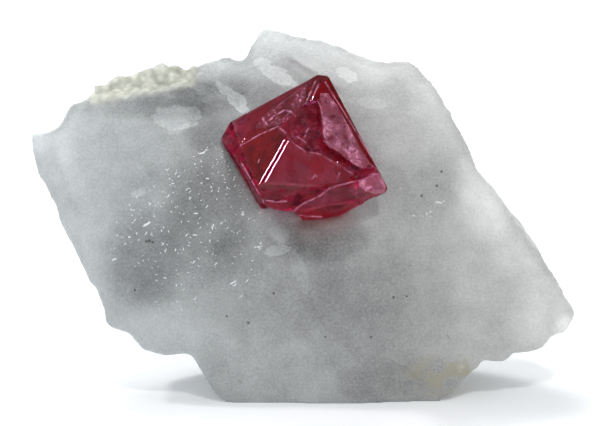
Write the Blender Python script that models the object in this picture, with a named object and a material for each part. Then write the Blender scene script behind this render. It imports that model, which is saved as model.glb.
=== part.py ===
"""A red spinel octahedron sunk in its marble matrix, which stands on its own flat foot.

The stone is a broken slab whose face leans back. Its shape is drawn in the face's own frame, in
millimetres: u to the right, v up the face and w out of it, towards the viewer. The last steps tip the
slab back and set its foot on the floor. In the model +X is right, +Y is away from the viewer, +Z is up,
and the origin lies on the foot, under the middle of the stone's width.
"""

import math
import random
from itertools import product

import bmesh
import bpy
from mathutils import Euler, Matrix, Vector, noise
from mathutils.geometry import delaunay_2d_cdt, intersect_line_plane


MM = 0.001

# Stance
LEAN = math.radians(15)
FOOT_FRONT_W = 2.5
FOOT_MIDDLE = 4.6

# The broken outline of the slab, seen square on, clockwise from the upper left tip
LEFT_TIP = [(-19.1, 19.7), (-18.5, 19.9), (-18.1, 20.1), (-17.7, 20.7), (-17.4, 21.4), (-17.1, 21.8), (-16.5, 22.1)]
SUGARY_RIM = [
    (-16.0, 22.3), (-15.7, 22.8), (-15.5, 23.4), (-15.0, 23.5), (-14.4, 23.7), (-13.8, 24.0), (-13.3, 24.2),
    (-12.8, 24.0), (-12.5, 24.2), (-12.2, 24.5), (-11.7, 24.7), (-11.3, 24.5), (-11.1, 24.8), (-10.7, 25.1),
    (-10.1, 24.9), (-9.5, 24.8), (-9.2, 24.5), (-8.7, 24.5), (-8.3, 24.7), (-7.7, 24.8), (-7.3, 25.1),
    (-6.7, 25.2), (-6.1, 25.5), (-5.5, 25.5), (-5.1, 25.3), (-4.5, 25.1),
]
TOP_LOBE = [
    (-4.1, 25.6), (-3.9, 26.2), (-3.5, 26.8), (-3.2, 27.3), (-2.9, 27.7), (-2.0, 27.5), (-1.1, 27.2),
    (-0.3, 27.0), (0.4, 26.8), (1.4, 26.7), (2.0, 26.4), (2.7, 26.2), (3.4, 25.8), (4.3, 25.5), (5.2, 25.1),
    (6.1, 25.0), (7.8, 25.1),
]
RIGHT_EDGE = [
    (8.3, 24.8), (8.9, 24.2), (9.5, 23.5), (9.9, 22.7), (10.4, 21.9), (10.8, 21.2), (11.1, 20.5),
    (11.6, 19.7), (12.0, 18.8), (12.4, 17.9), (12.7, 17.1), (13.3, 16.3), (13.8, 15.8), (14.4, 15.0),
    (14.8, 14.4), (15.3, 13.8), (15.9, 13.1), (16.5, 12.2), (17.1, 11.4), (17.5, 10.5), (17.9, 9.8),
    (18.6, 8.9), (19.0, 8.3), (19.2, 7.7), (19.7, 7.1),
]
LOWER_RIGHT_STEPS = [
    (20.0, 6.6), (19.9, 6.2), (19.4, 5.6), (19.1, 5.1), (18.5, 5.0), (18.1, 4.8), (17.4, 4.0), (16.8, 3.8),
    (15.8, 3.7), (15.2, 3.7), (14.9, 3.2), (14.4, 3.0), (13.0, 3.1), (12.8, 2.6), (12.2, 2.2), (11.6, 1.5),
    (10.8, 0.6),
]
FOOT_EDGE = [(10.0, 0.3), (9.4, -2.0), (-4.2, -2.0), (-5.5, 0.0)]
LOWER_LEFT_STEPS = [
    (-6.2, 0.5), (-6.7, 1.2), (-7.2, 2.1), (-7.8, 3.0), (-8.3, 3.6), (-9.9, 3.5), (-10.8, 3.7), (-11.6, 3.9),
    (-12.1, 4.5), (-12.6, 5.1), (-13.3, 5.3), (-14.0, 5.5),
]
LEFT_EDGE = [
    (-14.4, 5.9), (-14.5, 6.7), (-14.8, 7.6), (-15.0, 8.3), (-15.5, 8.8), (-15.8, 9.4), (-16.3, 10.3),
    (-16.8, 11.4), (-17.4, 12.5), (-17.8, 13.4), (-18.0, 14.2), (-18.5, 15.0), (-19.0, 16.0), (-19.6, 16.8),
    (-19.9, 17.7), (-20.0, 18.8), (-19.9, 19.7),
]

# The crowned front face: its summit, how fast it falls to the sides, up and down, and where it turns straight
CROWN = (0.5, 10.3)
CROWN_W = 4.6
SIDE_FALL = 0.006
DOWN_FALL = 0.0202
UP_FALL = 0.023
STRAIGHT_ABOVE = 22.0

# Bevels down to the thin edges: crest line, with the fall on its outer (left) side in mm per mm
BEVELS = [
    ([(-14.5, 6.4), (-14.9, 9.3), (-15.3, 10.8), (-16.2, 13.0), (-17.1, 14.8), (-17.8, 17.0), (-18.4, 19.9)], 0.8),
    ([(13.9, 15.6), (14.7, 13.9), (15.0, 12.9), (15.8, 11.8), (16.6, 11.0), (17.9, 9.8)], 0.7),
    ([(17.9, 9.8), (17.3, 8.2), (17.3, 6.4), (17.8, 5.0)], 0.45),
]

# Ledges of the front face: line, drop on its left side, and how far the drop reaches before it fades out
TOP_RIDGE = [(-16.4, 21.3), (-15.6, 22.1), (-14.1, 22.6), (-11.9, 22.8), (-10.1, 22.9), (-9.0, 23.4), (-7.9, 23.2),
             (-7.0, 22.9), (-5.9, 22.2), (-4.4, 20.9)]
FLAKE_SCAR = [(-11.5, 22.1), (-11.2, 21.0), (-10.6, 20.3), (-9.9, 19.8), (-9.0, 19.9), (-8.5, 20.4), (-7.8, 20.1),
              (-7.3, 20.6), (-7.1, 21.5)]
LOBE_GROOVE = [(3.1, 22.5), (1.2, 23.8), (-0.2, 24.7), (-1.4, 25.5)]
CENTRE_CRACK = [(-2.6, 11.4), (-1.8, 11.6), (-1.1, 11.5), (-0.6, 10.9), (-0.1, 10.0), (0.4, 8.8), (0.7, 7.5), (0.9, 6.2)]
LOW_LEDGE = [(2.0, 4.4), (-0.2, 4.2), (-3.0, 4.0), (-5.9, 3.7), (-8.0, 3.9)]
FOOT_SCAR = [(9.1, 0.9), (8.1, 2.1), (7.1, 2.8), (6.1, 3.0), (5.1, 2.9)]
RIGHT_SCALLOP = [(14.0, 14.8), (13.2, 14.4), (12.2, 14.7), (11.1, 15.4), (10.0, 16.1)]
LEDGES = [
    (TOP_RIDGE, 1.6, 14.0),
    (FLAKE_SCAR, 0.35, 2.2),
    (LOBE_GROOVE, 0.7, 2.5),
    (CENTRE_CRACK[::-1], 0.3, 3.5),
    (LOW_LEDGE, 0.2, 3.0),
    (FOOT_SCAR, 0.3, 2.5),
    (RIGHT_SCALLOP, 0.25, 2.5),
]
LEDGE_HALF_WIDTH = 0.12

# Fracture planes of the back: an edge line of the outline, the depth there, and the slope away from it
BACK_PLANES = [
    ((-14.4, 5.9), (-20.0, 17.7), 1.6, 0.65),
    ((-20.0, 19.7), (-4.5, 25.1), 3.2, 0.55),
    ((-3.5, 27.3), (8.3, 24.8), 3.2, 0.6),
    ((8.3, 24.8), (20.0, 6.6), 0.8, 0.7),
    ((20.0, 6.2), (10.8, 0.6), 2.0, 1.7),
    ((-5.5, 0.0), (-14.4, 5.9), 3.2, 1.7),
]
BACK_DEPTH = 10.6
BACK_RISE = 0.24
THINNEST = 1.3
MIDDLE = (0.0, 12.0)
BACK_TAPER = 0.07

# Surface roughness: height and length of each size of undulation
FRONT_SWELL = [(0.30, 7.0), (0.07, 2.2)]
BACK_SWELL = [(0.55, 5.0), (0.20, 1.8)]
GRAIN_LINE = ((-15.0, 22.9), (-8.8, 24.2))
GRAIN_REACH = 1.5
GRAIN_SIZE = 0.95
GRAIN_HEIGHT = 0.35

FRONT_SPACING = 0.85
GRAIN_SPACING = 0.42
BACK_SPACING = 1.3
RIM_SPACING = 0.72
WALL_RINGS = 4
RIM = [
    (LEFT_TIP + SUGARY_RIM[:1], RIM_SPACING),
    (SUGARY_RIM + TOP_LOBE[:1], GRAIN_SPACING),
    (
        TOP_LOBE + RIGHT_EDGE + LOWER_RIGHT_STEPS + FOOT_EDGE + LOWER_LEFT_STEPS + LEFT_EDGE + LEFT_TIP[:1],
        RIM_SPACING,
    ),
]
UNEVENNESS = 0.26

# A low swelling of the marble against the crystal's lower left, and a hollow beside its left corner
COLLARS = [((-2.4, 13.4), 0.8, 2.2), ((-5.6, 19.6), -0.7, 2.0)]

# The spinel: an octahedron sunk in the face, its attitude, and the distance from centre to corner
CRYSTAL_CENTRE = (0.1, 17.75, 4.1)
CRYSTAL_TURN = Euler([math.radians(a) for a in (21, -15, 63)])
HALF_DIAGONAL = 6.88
SOCKET_GAP = 0.2

# How much further out than the rest a face of the octahedron grew, and how deep its edges and corners are blunted
FACE_SHIFT = {(-1, 1, -1): 0.5, (1, -1, 1): 0.12, (1, 1, 1): 0.15}
EDGE_BLUNTING = 0.07
WIDE_EDGES = {(-1, 0, 1): 0.11, (0, -1, 1): 0.22}
CORNER_BLUNTING = {(0, 0, 1): 0.55, (0, 1, 0): 0.5, (0, -1, 0): 0.25}

# Breaks in the crystal's faces, drawn as they look to an eye far out in front of the slab
EYE = (-0.2, 13.9, 230.0)
CHANNEL = [
    (0.1, 21.9), (0.7, 22.1), (1.1, 22.1), (1.3, 21.6), (1.5, 20.3), (1.5, 19.6), (1.8, 19.0), (2.3, 18.6),
    (2.9, 18.1), (3.4, 17.7), (4.0, 17.3), (4.4, 17.1), (4.8, 17.4), (5.3, 17.4), (6.4, 17.5), (6.7, 16.8),
    (5.6, 16.7), (5.1, 16.5), (4.5, 16.3), (4.0, 16.2), (3.6, 16.4), (3.4, 16.8), (2.7, 17.2), (2.1, 17.7),
    (1.4, 18.1), (0.9, 18.3), (0.3, 18.3), (-0.2, 18.7), (-0.9, 19.0), (-1.2, 19.3), (-1.9, 20.1), (-1.5, 20.7),
    (-1.0, 21.2), (-0.4, 21.6),
]
EDGE_CHIP = [
    (1.4, 15.8), (2.4, 16.0), (3.1, 16.2), (3.5, 16.5), (4.0, 16.2), (4.1, 15.8), (4.4, 14.8), (2.7, 14.5),
    (1.4, 14.9),
]
UPPER_LEFT_STEP = [
    (-5.2, 18.5), (-4.6, 18.8), (-3.9, 19.2), (-3.0, 19.6), (-2.3, 20.1), (-1.8, 20.2), (-1.0, 19.9), (0.4, 21.9),
    (1.4, 23.7), (1.7, 24.8), (-0.5, 24.6), (-6.7, 21.5), (-6.7, 18.5),
]
LOWER_LEFT_BREAK = [
    (-3.9, 14.5), (-3.0, 14.5), (-2.6, 14.3), (-2.1, 14.1), (-1.4, 14.0), (-0.8, 14.0), (-0.4, 13.8), (-0.1, 13.4),
    (0.1, 11.1), (-3.9, 11.1),
]
LOWER_PANEL = [
    (-0.7, 13.9), (-0.2, 14.4), (0.5, 14.7), (1.2, 15.1), (2.1, 15.7), (3.1, 16.0), (3.9, 16.1), (4.5, 15.5),
    (5.1, 15.1), (5.9, 14.8), (4.6, 14.4), (4.2, 14.5), (3.1, 14.5), (2.1, 14.4), (1.2, 14.2), (-0.2, 13.8),
]

# Each break: outline, the face it goes into, depth, width of its sloping side, and unevenness of its floor
FRONT_FACE = (-1, -1, 1)
LEFT_FACE = (-1, 1, 1)
LOWER_FACE = (-1, -1, -1)
BREAKS = {
    "channel": (CHANNEL, FRONT_FACE, 0.5, 0.15, 0.22),
    "edge_chip": (EDGE_CHIP, FRONT_FACE, 0.3, 0.1, 0.1),
    "upper_left_step": (UPPER_LEFT_STEP, LEFT_FACE, 0.12, 0.05, 0.0),
    "lower_panel": (LOWER_PANEL, LOWER_FACE, 0.2, 0.06, 0.05),
}
BURIED_BREAK = ("lower_left_break", (LOWER_LEFT_BREAK, LOWER_FACE, 0.9, 0.1, 0.1))
BREAK_SPACING = 0.6
CUTTER_LIFT = 3.0

MARBLE_COLOUR = (0.52, 0.54, 0.53, 1.0)
SPINEL_COLOUR = (0.42, 0.01, 0.04, 1.0)


def clear_scene():
    for obj in list(bpy.data.objects):
        bpy.data.objects.remove(obj)


def material(name, colour, roughness, transmission=0.0):
    made = bpy.data.materials.new(name)
    made.use_nodes = True
    shader = made.node_tree.nodes["Principled BSDF"]
    shader.inputs["Base Color"].default_value = colour
    shader.inputs["Roughness"].default_value = roughness
    shader.inputs["Metallic"].default_value = 0.0
    shader.inputs["Transmission Weight"].default_value = transmission
    return made


def add_object(name, bm, surface=None):
    mesh = bpy.data.meshes.new(name)
    bm.to_mesh(mesh)
    bm.free()
    obj = bpy.data.objects.new(name, mesh)
    bpy.context.scene.collection.objects.link(obj)
    if surface:
        mesh.materials.append(surface)
    return obj


def upright(u, v, w):
    """A point of the face's frame, in millimetres, as a vector of the slab before it is tipped back."""
    return Vector((u, -w, v))


def standing():
    """The move that tips the slab back, sets its foot on the floor and turns millimetres into metres."""
    tip = Matrix.Rotation(-LEAN, 4, "X")
    foot = tip @ upright(0, 0, FOOT_FRONT_W)
    return Matrix.Scale(MM, 4) @ Matrix.Translation((0, -foot.y - FOOT_MIDDLE, -foot.z)) @ tip


def resampled(line, spacing, closed=False):
    """The line's own corners, with points between them no more than the spacing apart."""
    ends = line[1:] + line[:1] if closed else line[1:]
    points = []
    for start, end in zip(line, ends):
        a, b = Vector(start), Vector(end)
        count = max(1, math.ceil((b - a).length / spacing))
        points += [a.lerp(b, i / count) for i in range(count)]
    return points if closed else points + [Vector(line[-1])]


def nearest_on_line(point, line):
    """(distance, side, share of the line's length): side is 1 on the left of the line and -1 on the right."""
    runs = [end - start for start, end in zip(line, line[1:])]
    best = (math.inf, 1, 0.0)
    for i, run in enumerate(runs):
        t = (point - line[i]).dot(run) / run.length_squared
        neighbour = runs[max(i - 1, 0)] if t < 0 else runs[min(i + 1, len(runs) - 1)]
        t = min(1.0, max(0.0, t))
        away = point - line[i] - run * t
        if away.length < best[0]:
            along = run if 0 < t < 1 else run.normalized() + neighbour.normalized()
            best = (away.length, 1 if along.cross(away) > 0 else -1, (i + t) / len(runs))
    return best


def inside(point, loop):
    """Whether the point is inside the closed loop, by counting the sides that it crosses going right."""
    within = False
    for a, b in zip(loop, loop[1:] + loop[:1]):
        if (a.y > point.y) != (b.y > point.y) and point.x < a.x + (b.x - a.x) * (point.y - a.y) / (b.y - a.y):
            within = not within
    return within


def swell(point, sizes, seed):
    """Smooth undulation: the sum of a noise field at each (height, length)."""
    return sum(
        height * noise.noise(Vector((point.x / length, point.y / length, seed + i)))
        for i, (height, length) in enumerate(sizes)
    )


def collar(point):
    """Height that the marble gains or loses close to the crystal."""
    return sum(
        height * math.exp(-((point - Vector(centre)).length_squared) / reach**2) for centre, height, reach in COLLARS
    )


def fading(share, steepness):
    """1 along most of a line, falling to 0 at both of its ends."""
    return min(1.0, steepness * min(share, 1 - share))


def bevel_fall(point):
    total = 0.0
    for crest, slope in BEVELS:
        distance, side, share = nearest_on_line(point, [Vector(p) for p in crest])
        if side > 0:
            total += slope * distance * fading(share, 8)
    return total


def ledge_drop(point):
    total = 0.0
    for line, drop, reach in LEDGES:
        distance, side, share = nearest_on_line(point, [Vector(p) for p in line])
        if side > 0:
            total += drop * fading(share, 5) * math.exp(-distance / reach)
    return total


def crown(point):
    """Height of the front face before its bevels, ledges and swell."""
    up = point.y - CROWN[1]
    side = SIDE_FALL * (point.x - CROWN[0]) ** 2
    if up < 0:
        return CROWN_W - side - DOWN_FALL * up**2
    bend = min(up, STRAIGHT_ABOVE - CROWN[1])
    straight = up - bend
    return CROWN_W - side - UP_FALL * bend**2 - 2 * UP_FALL * bend * straight


def front_height(point):
    return crown(point) + collar(point) - bevel_fall(point) - ledge_drop(point) + swell(point, FRONT_SWELL, 3.1)


def back_height(point, front):
    """Height of the back: the outermost of its fracture planes, never closer to the front than the thinnest edge."""
    planes = [BACK_RISE * point.y - BACK_DEPTH]
    for start, end, depth, slope in BACK_PLANES:
        run = (Vector(end) - Vector(start)).normalized()
        inward = -run.cross(point - Vector(start))
        planes.append(-depth - slope * inward)
    return min(max(planes) + swell(point, BACK_SWELL, 9.7), front - THINNEST)


def in_grains(point):
    return nearest_on_line(point, [Vector(p) for p in GRAIN_LINE])[0] < GRAIN_REACH


def scattered(loop, fixed, spacing, wanted):
    """Uneven points about a spacing apart within the loop, clear of the fixed ones, where they are wanted."""
    chance = random.Random(5)
    low = Vector((min(p.x for p in loop), min(p.y for p in loop)))
    high = Vector((max(p.x for p in loop), max(p.y for p in loop)))
    row_height = spacing * math.sqrt(3) / 2
    points = []
    for row in range(math.ceil((high.y - low.y) / row_height)):
        for column in range(math.ceil((high.x - low.x) / spacing)):
            p = low + Vector(((column + 0.5 * (row % 2)) * spacing, row * row_height))
            p += Vector([chance.uniform(-UNEVENNESS, UNEVENNESS) * spacing for _ in range(2)])
            if wanted(p) and inside(p, loop) and min((p - q).length for q in fixed) > 0.6 * spacing:
                points.append(p)
    return points


def filled(loop, lines, sizes):
    """Triangles that fill the loop and keep the lines as edges, with points a spacing apart between them."""
    points = list(loop)
    edges = [(i, (i + 1) % len(loop)) for i in range(len(loop))]
    for line in lines:
        kept = [p for p in line if inside(p, loop) and min((p - q).length for q in loop) > 0.3]
        edges += [(len(points) + i, len(points) + i + 1) for i in range(len(kept) - 1)]
        points += kept
    for spacing, wanted in sizes:
        points += scattered(loop, points, spacing, wanted)
    made, _, faces, origins, _, _ = delaunay_2d_cdt(points, edges, [], 1, 1e-6)
    place = {source: i for i, sources in enumerate(origins) for source in sources}
    return made, faces, [place[i] for i in range(len(loop))]


def everywhere(_):
    return True


def crease_lines():
    """The lines that the front's triangles follow: each bevel's crest, and both lips of each ledge."""
    lines = [resampled(crest, RIM_SPACING) for crest, _ in BEVELS]
    for line, _, _ in LEDGES:
        points = resampled(line, RIM_SPACING)
        for side in (-LEDGE_HALF_WIDTH, LEDGE_HALF_WIDTH):
            lip = []
            for before, point, after in zip(points[:1] + points, points, points[1:] + points[-1:]):
                run = (after - before).normalized()
                lip.append(point + Vector((-run.y, run.x)) * side)
            lines.append(lip)
    return lines


def tapered(point, share):
    """A point of the outline drawn in towards the slab's middle, by its share of the way to the back."""
    return Vector(MIDDLE) + (point - Vector(MIDDLE)) * (1 - BACK_TAPER * share)


def slab():
    """The closed slab: front sheet, broken side wall in rings, and back sheet."""
    bm = bmesh.new()
    loop = [p for part, spacing in RIM for p in resampled(part, spacing)[:-1]]
    front_points, front_faces, rim = filled(
        loop, crease_lines(), [(GRAIN_SPACING, in_grains), (FRONT_SPACING, everywhere)]
    )
    front = [bm.verts.new(upright(p.x, p.y, front_height(p))) for p in front_points]
    for face in front_faces:
        bm.faces.new([front[i] for i in face])
    back_loop = [tapered(p, 1.0) for p in loop]
    back_points, back_faces, back_rim = filled(back_loop, [], [(BACK_SPACING, everywhere)])
    back = [bm.verts.new(upright(p.x, p.y, back_height(p, front_height(p)))) for p in back_points]
    for face in back_faces:
        bm.faces.new([back[i] for i in reversed(face)])
    rings = [[front[i] for i in rim]]
    for ring in range(1, WALL_RINGS + 1):
        share = ring / (WALL_RINGS + 1)
        made = []
        for i, point in enumerate(loop):
            start, end = front[rim[i]].co, back[back_rim[i]].co
            p = tapered(point, share)
            depth = start.y + (end.y - start.y) * share
            rough = 0.5 * math.sin(math.pi * share) * noise.noise(Vector((p.x / 2.5, p.y / 2.5, depth / 2.5)))
            p = p + (Vector(MIDDLE) - p).normalized() * abs(rough)
            made.append(bm.verts.new((p.x, depth, p.y)))
        rings.append(made)
    rings.append([back[i] for i in back_rim])
    for ring, following in zip(rings, rings[1:]):
        for i in range(len(loop)):
            j = (i + 1) % len(loop)
            bm.faces.new((ring[i], ring[j], following[j], following[i]))
    bmesh.ops.triangulate(bm, faces=bm.faces)
    bmesh.ops.recalc_face_normals(bm, faces=bm.faces)
    return bm


def raise_grains(bm):
    """Rounded grains of the sugary patch along the upper left rim."""
    bm.normal_update()
    start, end = (Vector(p) for p in GRAIN_LINE)
    moves = []
    for vertex in bm.verts:
        point = Vector((vertex.co.x, vertex.co.z))
        distance, _, _ = nearest_on_line(point, [start, end])
        if distance < GRAIN_REACH:
            cell = noise.voronoi(vertex.co / GRAIN_SIZE)[0][0]
            moves.append((vertex, vertex.normal * GRAIN_HEIGHT * (0.6 - cell) * (1 - distance / GRAIN_REACH)))
    for vertex, move in moves:
        vertex.co += move


def cut_flat(bm, point, normal):
    """Removes what lies beyond the plane and closes the cut."""
    geometry = bm.verts[:] + bm.edges[:] + bm.faces[:]
    cut = bmesh.ops.bisect_plane(
        bm, geom=geometry, plane_co=point, plane_no=normal, clear_outer=True, dist=1e-9
    )["geom_cut"]
    edges = [e for e in cut if isinstance(e, bmesh.types.BMEdge)]
    if edges:
        bmesh.ops.contextual_create(bm, geom=edges)


def crystal_place():
    u, v, w = CRYSTAL_CENTRE
    return Matrix.Translation(upright(u, v, w)) @ CRYSTAL_TURN.to_matrix().to_4x4()


def face_distance(signs):
    return HALF_DIAGONAL / math.sqrt(3) + FACE_SHIFT.get(signs, 0)


def octahedron(grown=0.0):
    """A block cleaved by the eight octahedron faces, its edges and corners blunted, all grown by a distance."""
    bm = bmesh.new()
    bmesh.ops.create_cube(bm, size=4 * HALF_DIAGONAL)
    for signs in product((-1, 1), repeat=3):
        normal = Vector(signs).normalized()
        cut_flat(bm, normal * (face_distance(signs) + grown), normal)
    for signs in product((-1, 0, 1), repeat=3):
        normal = Vector(signs).normalized()
        if sum(map(abs, signs)) == 2:
            across = [s for s in product((-1, 1), repeat=3) if Vector(s).dot(Vector(signs)) == 2]
            edge = sum(face_distance(s) for s in across) / 2 * math.sqrt(1.5)
            cut_flat(bm, normal * (edge - WIDE_EDGES.get(signs, EDGE_BLUNTING) + grown), normal)
        elif signs in CORNER_BLUNTING:
            cut_flat(bm, normal * (HALF_DIAGONAL - CORNER_BLUNTING[signs] + grown), normal)
    bmesh.ops.remove_doubles(bm, verts=bm.verts, dist=0.001)
    bmesh.ops.transform(bm, matrix=crystal_place(), verts=bm.verts)
    bmesh.ops.recalc_face_normals(bm, faces=bm.faces)
    return bm


def inset_loop(loop, distance):
    """The closed loop drawn inwards by the distance."""
    area = sum(a.cross(b) for a, b in zip(loop, loop[1:] + loop[:1]))
    turn = math.copysign(1, area)
    made = []
    for before, point, after in zip(loop[-1:] + loop, loop, loop[1:] + loop[:1]):
        run = (after - before).normalized()
        made.append(point + Vector((-run.y, run.x)) * distance * turn)
    return made


def hidden(cutter):
    cutter.hide_render = True
    cutter.display_type = "WIRE"
    return cutter


def break_cutter(name, drawn, shrunk=0.0):
    """A cutter over the drawn outline, down through a face to an uneven floor, narrowing as it goes."""
    outline, signs, depth, slope_width, rough = drawn
    place = crystal_place()
    normal = (place.to_3x3() @ Vector(signs)).normalized()
    on_face = place @ (Vector(signs).normalized() * face_distance(signs))

    def below_face(point, depth):
        return intersect_line_plane(upright(*EYE), upright(*point, 0), on_face, normal) - normal * depth

    def floor_point(point):
        uneven = rough * noise.noise(Vector((point.x / 0.7, point.y / 0.7, 4.4)))
        return below_face(point, depth - shrunk + uneven)

    mouth = inset_loop(resampled(outline, BREAK_SPACING, closed=True), shrunk)
    floor, floor_faces, floor_rim = filled(inset_loop(mouth, slope_width), [], [(BREAK_SPACING, everywhere)])
    bm = bmesh.new()
    top = [bm.verts.new(below_face(p, -CUTTER_LIFT)) for p in mouth]
    middle = [bm.verts.new(below_face(p, 0)) for p in mouth]
    bottom = [bm.verts.new(floor_point(p)) for p in floor]
    bm.faces.new(top)
    for face in floor_faces:
        bm.faces.new([bottom[i] for i in face])
    rings = [top, middle, [bottom[i] for i in floor_rim]]
    for ring, following in zip(rings, rings[1:]):
        for i in range(len(mouth)):
            j = (i + 1) % len(mouth)
            bm.faces.new((ring[i], ring[j], following[j], following[i]))
    bmesh.ops.triangulate(bm, faces=bm.faces)
    bmesh.ops.recalc_face_normals(bm, faces=bm.faces)
    return hidden(add_object(name + "_cutter", bm))


def add_cut(obj, cutter):
    cut = obj.modifiers.new(cutter.name, "BOOLEAN")
    cut.operation = "DIFFERENCE"
    cut.object = cutter


def marble():
    bm = slab()
    raise_grains(bm)
    return add_object("marble_matrix", bm, material("grey_white_marble", MARBLE_COLOUR, 0.5))


def stand_up(obj):
    obj.data.transform(standing())
    obj.data.update()


def flatten_foot(obj):
    bm = bmesh.new()
    bm.from_mesh(obj.data)
    cut_flat(bm, Vector((0, 0, 0)), Vector((0, 0, -1)))
    bmesh.ops.triangulate(bm, faces=[f for f in bm.faces if len(f.verts) > 4])
    bm.to_mesh(obj.data)
    bm.free()


def main():
    clear_scene()
    matrix_rock = marble()
    crystal = add_object("spinel_crystal", octahedron(), material("red_spinel", SPINEL_COLOUR, 0.08, 1.0))
    breaks = [break_cutter(name, drawn) for name, drawn in BREAKS.items()]
    breaks.append(break_cutter(*BURIED_BREAK))
    socket = hidden(add_object("socket_cutter", octahedron(SOCKET_GAP)))
    socket_step = break_cutter("socket_step", BURIED_BREAK[1], SOCKET_GAP)
    for obj in [matrix_rock, crystal, socket, socket_step, *breaks]:
        stand_up(obj)
    flatten_foot(matrix_rock)
    for cutter in breaks:
        add_cut(crystal, cutter)
    add_cut(socket, socket_step)
    add_cut(matrix_rock, socket)


main()
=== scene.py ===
"""A gemmy red spinel in a chip of grey-white marble that stands on its own flat foot.

Places on the chip are given in its face's own frame, in millimetres: u to the right, v up the face and
w out of it. The face leans back, and the camera looks down by the same angle, so it sees the face square on.
"""

import math
from itertools import product

import bmesh
import bpy
import numpy as np
from mathutils import Euler, Matrix, Vector, noise
from mathutils.bvhtree import BVHTree


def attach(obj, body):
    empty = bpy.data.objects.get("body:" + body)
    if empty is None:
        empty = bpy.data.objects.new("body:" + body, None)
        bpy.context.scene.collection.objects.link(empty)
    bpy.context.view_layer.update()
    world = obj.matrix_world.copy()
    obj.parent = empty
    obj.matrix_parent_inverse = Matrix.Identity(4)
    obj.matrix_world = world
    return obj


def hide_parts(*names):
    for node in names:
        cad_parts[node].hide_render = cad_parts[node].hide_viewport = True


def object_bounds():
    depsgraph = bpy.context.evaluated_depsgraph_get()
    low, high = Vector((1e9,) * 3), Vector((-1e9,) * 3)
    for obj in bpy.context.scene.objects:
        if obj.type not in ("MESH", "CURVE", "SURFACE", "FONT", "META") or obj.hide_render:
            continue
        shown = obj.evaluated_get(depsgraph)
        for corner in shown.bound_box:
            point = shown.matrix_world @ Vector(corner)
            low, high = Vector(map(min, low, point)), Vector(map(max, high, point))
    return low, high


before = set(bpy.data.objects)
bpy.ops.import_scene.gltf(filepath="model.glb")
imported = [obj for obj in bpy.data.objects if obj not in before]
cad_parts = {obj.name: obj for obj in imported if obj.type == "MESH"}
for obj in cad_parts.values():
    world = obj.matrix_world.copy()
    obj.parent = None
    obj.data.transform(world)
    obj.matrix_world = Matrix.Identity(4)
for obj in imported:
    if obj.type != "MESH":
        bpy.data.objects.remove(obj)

MM = 0.001

# How far the face leans back, where the foot starts in front, and how far its middle is behind that
LEAN = math.radians(15)
FOOT_FRONT_W = 2.5
FOOT_MIDDLE = 4.6
CAD_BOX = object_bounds()

# The camera's distance from the face, its focal length, and the middle of the picture on the face
CAMERA_DISTANCE = 230
CAMERA_LENS = 188
PICTURE_MIDDLE = (-0.22, 13.85, 0.0)


def face_frame():
    """The move from the face's frame, as (u, -w, v) in millimetres, to the model's frame in metres."""
    tip = Matrix.Rotation(-LEAN, 4, "X")
    foot = tip @ Vector((0, -FOOT_FRONT_W, 0))
    return Matrix.Scale(MM, 4) @ Matrix.Translation((0, -foot.y - FOOT_MIDDLE, -foot.z)) @ tip


FACE = face_frame()
TO_FACE = FACE.inverted()


def at(u, v, w):
    return FACE @ Vector((u, -w, v))


def seen_from(right, up, near):
    """A direction given as the camera sees it, turned into the model's frame."""
    return (FACE.to_3x3() @ Vector((right, -near, up))).normalized()


# Shader sums


class Value:
    """A node's output. Sums written on it in Python add their Math nodes."""

    def __init__(self, recipe, socket):
        self.recipe = recipe
        self.socket = socket

    def sum(self, operation, first, second):
        return self.recipe.node("ShaderNodeMath", {"operation": operation}, {0: first, 1: second})

    def __add__(self, other):
        return self.sum("ADD", self, other)

    def __radd__(self, other):
        return self.sum("ADD", other, self)

    def __sub__(self, other):
        return self.sum("SUBTRACT", self, other)

    def __rsub__(self, other):
        return self.sum("SUBTRACT", other, self)

    def __mul__(self, other):
        return self.sum("MULTIPLY", self, other)

    def __rmul__(self, other):
        return self.sum("MULTIPLY", other, self)


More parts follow.
